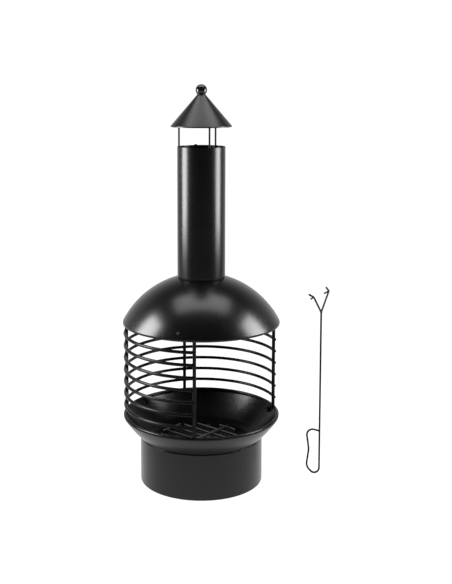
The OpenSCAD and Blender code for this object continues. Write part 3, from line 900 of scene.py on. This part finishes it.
def makeCapWelds(shape):
    bm = bmesh.new()
    pipeTop = pipe["low"] + pipe["length"]
    underTip = rainCap["tip"] - sheet["thick"] * math.sqrt(1 + capSlope ** 2)
    loopRadius = shape["rodRadius"] + shape["loopGap"]
    for turn in threeRound(shape["rodAzimuth"]):
        for side in (-1, 1):
            x, y = pipe["radius"] - sheet["thick"] - shape["beadIn"], side * shape["beadAside"]
            straightBead(bm, (x, y, pipeTop - shape["rodIn"] + shape["beadAbove"]),
                         (x, y, pipeTop - shape["beadBelow"]), shape["bead"], turn)
        loop = []
        for k in range(shape["loopSteps"]):
            a = 2 * math.pi * k / shape["loopSteps"]
            x, y = shape["rodAt"] + loopRadius * math.cos(a), loopRadius * math.sin(a)
            loop.append((x, y, underTip - math.hypot(x, y) * capSlope - shape["loopSunk"]))
        middle = (shape["rodAt"], 0, underTip - shape["rodAt"] * capSlope)
        weldBead(bm, loop, shape["loop"], turn, centre=middle, closed=True)
    addPiece("capWelds", bm, "chimney", "capRodCoat")


makeCapWelds(capWeld)

finial = {"nutLow": 1225.54, "studLow": 1223.54, "studHigh": 1245.7}


def makeFinialFixing(shape):
    bm = bmesh.new()
    hexNut(bm, raised(shape["nutLow"]))
    addPiece("finialNut", bm, "chimney", "zincPlate", ["finial_nut"])
    bm = bmesh.new()
    threadedRod(bm, shape["studLow"], shape["studHigh"], Matrix())
    addPiece("finialStud", bm, "chimney", "zincPlate", ["finial_stud"])


makeFinialFixing(finial)
print("hood, collar, pipe and rain cap made")


# Guard: welds where the rings cross the uprights or end on them
guard = {
    "uprightCircle": 240,
    "uprightRadius": 5.5,
    "rodRadius": 5,
    "ringRadius": 244.4,
    "firstRing": 247.6,
    "pitch": 38.7,
    "rings": 7,
    "footRadius": 243.4,
    "foot": 212.7,
    "topRadius": 243.9,
    "top": 515.6,
    "bead": 1.3,
    "beadStep": 4,  # degrees round the upright
    "beadCentreIn": 1,
}
# What the guard rings do at each upright: pass it, start on it or end on it
uprights = {"right": (11, "starts"), "back": (104, "passes"), "left": (180, "passes"), "front": (265, "ends")}
# Degrees round the upright between which the bead runs
beadRuns = {"starts": (22, 130), "passes": (-130, 130), "ends": (-130, -22)}


def crossing(bm, ringRadius, height, azimuth, ringDoes, above=True, below=True):
    reach, rod = guard["uprightRadius"], guard["rodRadius"]
    first, last = beadRuns[ringDoes]
    curve = []
    for k in range(first, last + 1, guard["beadStep"]):
        a = math.radians(k)
        x, y = guard["uprightCircle"] + reach * math.cos(a), reach * math.sin(a)
        off = math.hypot(x, y) - ringRadius
        if abs(off) <= rod:
            curve.append((x, y, math.sqrt(rod * rod - off * off)))
    up = [(x, y, height + z) for x, y, z in curve]
    down = [(x, y, height - z) for x, y, z in reversed(curve)]
    if ringDoes == "ends":
        up.reverse()
        down.reverse()
    points = (up if above else []) + (down if below else [])
    weldBead(bm, points, guard["bead"], turnAbout(azimuth),
             centre=(guard["uprightCircle"] - guard["beadCentreIn"], 0, height),
             closed=ringDoes == "passes" and above and below)


def makeGuardWelds():
    bm = bmesh.new()
    for azimuth, ringDoes in uprights.values():
        for i in range(guard["rings"]):
            crossing(bm, guard["ringRadius"], guard["firstRing"] + i * guard["pitch"], azimuth, ringDoes)
        crossing(bm, guard["footRadius"], guard["foot"], azimuth, "passes", below=False)
        crossing(bm, guard["topRadius"], guard["top"], azimuth, "passes", above=False)
    addPiece("guardWelds", bm, "stand", "rodCoat")


makeGuardWelds()

# Tabs that hold the foot ring in the bowl and the top ring in the hood
tabs = {
    "back": 10,
    "gap": 0.5,
    "thick": 3,
    "width": 16,
    "corner": 3.2,
    "hole": 3.3,
    "studAzimuth": 20,
    "studHeight": 195.4,
    "boltAzimuth": 13.7,
    "boltHeight": 534.0,
    "show": 2,  # thread above the nut
    "weld": 1.3,
    "weldGap": 0.1,
    "weldShort": 1,
    "weldSunk": 0.2,
}
tabs["nutAt"] = tabs["gap"] + tabs["thick"] + tabs["weldGap"]
tabs["threadTo"] = tabs["nutAt"] + nut["thick"] + tabs["show"]


# Place on the bowl's inner wall, and the foot ring's place seen from there
def bowlWallPlace():
    inner = bowl["wallRadius"] - sheet["thick"]
    angle = math.asin((wallCentre.y - tabs["studHeight"]) / inner)
    at = wallCentre + Vector((math.cos(angle), -math.sin(angle))) * inner
    off = Vector((guard["footRadius"], guard["foot"])) - at
    ringAt = (off.dot(Vector((math.sin(angle), math.cos(angle)))),
              off.dot(Vector((-math.cos(angle), math.sin(angle)))))
    place = Matrix.Translation((at.x, 0, at.y)) @ Matrix.Rotation(angle - math.pi / 2, 4, "Y")
    return place, ringAt


# The same for the hood's inner wall and the top ring
def hoodWallPlace():
    inner = hood["domeRadius"] - sheet["thick"]
    angle = math.asin((tabs["boltHeight"] - hood["centre"]) / inner)
    at = Vector((0, hood["centre"])) + Vector((math.cos(angle), math.sin(angle))) * inner
    off = Vector((guard["topRadius"], guard["top"])) - at
    ringAt = (off.dot(Vector((math.sin(angle), -math.cos(angle)))),
              off.dot(Vector((-math.cos(angle), -math.sin(angle)))))
    place = (Matrix.Translation((at.x, 0, at.y)) @ Matrix.Rotation(-math.pi / 2 - angle, 4, "Y")
             @ Matrix.Rotation(math.pi, 4, "Z"))
    return place, ringAt


def wallTab(plates, place, ringAt):
    face = tabs["gap"] + tabs["thick"]
    end = ringAt[0] - math.sqrt((guard["rodRadius"] + tabs["weldGap"]) ** 2 - (ringAt[1] - face) ** 2)
    drilledPlate(plates, -tabs["back"], end, tabs["width"], tabs["gap"], face, tabs["hole"],
                 tabs["corner"], place)
    half = tabs["width"] / 2 - tabs["weldShort"]
    x, z = end - tabs["weldSunk"], face - tabs["weldSunk"]
    straightBead(plates, (x, -half, z), (x, half, z), tabs["weld"], place)


def makeFootTabs():
    place, ringAt = bowlWallPlace()
    plates, studs, nuts = bmesh.new(), bmesh.new(), bmesh.new()
    for turn in threeRound(tabs["studAzimuth"]):
        here = turn @ place
        wallTab(plates, here, ringAt)
        threadedRod(studs, tabs["weldGap"], tabs["threadTo"], here)
        hexNut(nuts, here @ raised(tabs["nutAt"]))
    addPiece("footTabs", plates, "stand", "rodCoat", ["foot_tabs"])
    addPiece("bowlStuds", studs, "stand", "darkFixing", ["bowl_studs"])
    addPiece("bowlNuts", nuts, "stand", "darkFixing", ["bowl_nuts"])


def makeTopTabs():
    place, ringAt = hoodWallPlace()
    plates, bolts, nuts = bmesh.new(), bmesh.new(), bmesh.new()
    for turn in threeRound(tabs["boltAzimuth"]):
        here = turn @ place
        wallTab(plates, here, ringAt)
        outside = here @ raised(-sheet["thick"] - tabs["weldGap"])
        domedBolt(bolts, tabs["threadTo"] + sheet["thick"] + tabs["weldGap"],
                  outside @ Matrix.Rotation(math.pi, 4, "X"))
        hexNut(nuts, here @ raised(tabs["nutAt"]))
    addPiece("topTabs", plates, "stand", "rodCoat", ["top_tabs"])
    addPiece("hoodBolts", bolts, "stand", "darkFixing", ["hood_bolts"])
    addPiece("hoodNuts", nuts, "stand", "zincPlate", ["hood_nuts"])


makeFootTabs()
makeTopTabs()
print("guard welds, tabs and fixings made")


# Grate: a lump of weld at each crossing of its wires
grate = {"azimuth": -41, "radius": 137, "edgeFree": 2, "pitch": 38, "bars": 8, "crossAt": (-130, 0, 130),
         "height": 129.15, "weld": (2.8, 2.8, 1.5)}


def makeGrateWelds(shape):
    bm = bmesh.new()
    for i in range(shape["bars"]):
        y = (i - (shape["bars"] - 1) / 2) * shape["pitch"]
        for x in shape["crossAt"]:
            if math.hypot(x, y) < shape["radius"] - shape["edgeFree"]:
                weldNugget(bm, shape["weld"],
                           turnAbout(shape["azimuth"]) @ Matrix.Translation((x, y, shape["height"])))
    addPiece("grateWelds", bm, "grate", "grateCoat")


makeGrateWelds(grate)

# Hook tool: welds at the fork's root, at the prongs and where the grip's end meets the shaft
tool = {
    "at": (386, 17),
    "fork": 539,
    "forkWeld": (3.9, 3.9, 3.4),
    "gripEnd": 144.3,
    "gripWeld": (2.2, 3.7, 3.9),
    "gripWeldX": -3.1,
    "armRise": 60,
    "armReach": 55,
    "armAzimuth": 57,
    "prongWeld": (2.6, 3.4, 3.1),
    "prongSide": 1.4,
    "prongBack": 1.6,
}


def makeToolWelds(shape):
    bm = bmesh.new()
    axis = Matrix.Translation((*shape["at"], 0))
    weldNugget(bm, shape["forkWeld"], axis @ raised(shape["fork"]))
    weldNugget(bm, shape["gripWeld"], axis @ Matrix.Translation((shape["gripWeldX"], 0, shape["gripEnd"])))
    armLength = math.hypot(shape["armRise"], shape["armReach"])
    tilt = math.atan2(shape["armReach"], shape["armRise"])
    for side in (-1, 1):
        arm = (axis @ raised(shape["fork"]) @ turnAbout(shape["armAzimuth"] + 90)
               @ Matrix.Rotation(side * tilt, 4, "X") @ Matrix.Rotation(math.pi / 2, 4, "X"))
        weldNugget(bm, shape["prongWeld"],
                   arm @ Matrix.Translation((shape["prongSide"], armLength - shape["prongBack"], 0)))
    addPiece("toolWelds", bm, "hook_tool", "toolCoat")


makeToolWelds(tool)
print("grate and tool welds made")
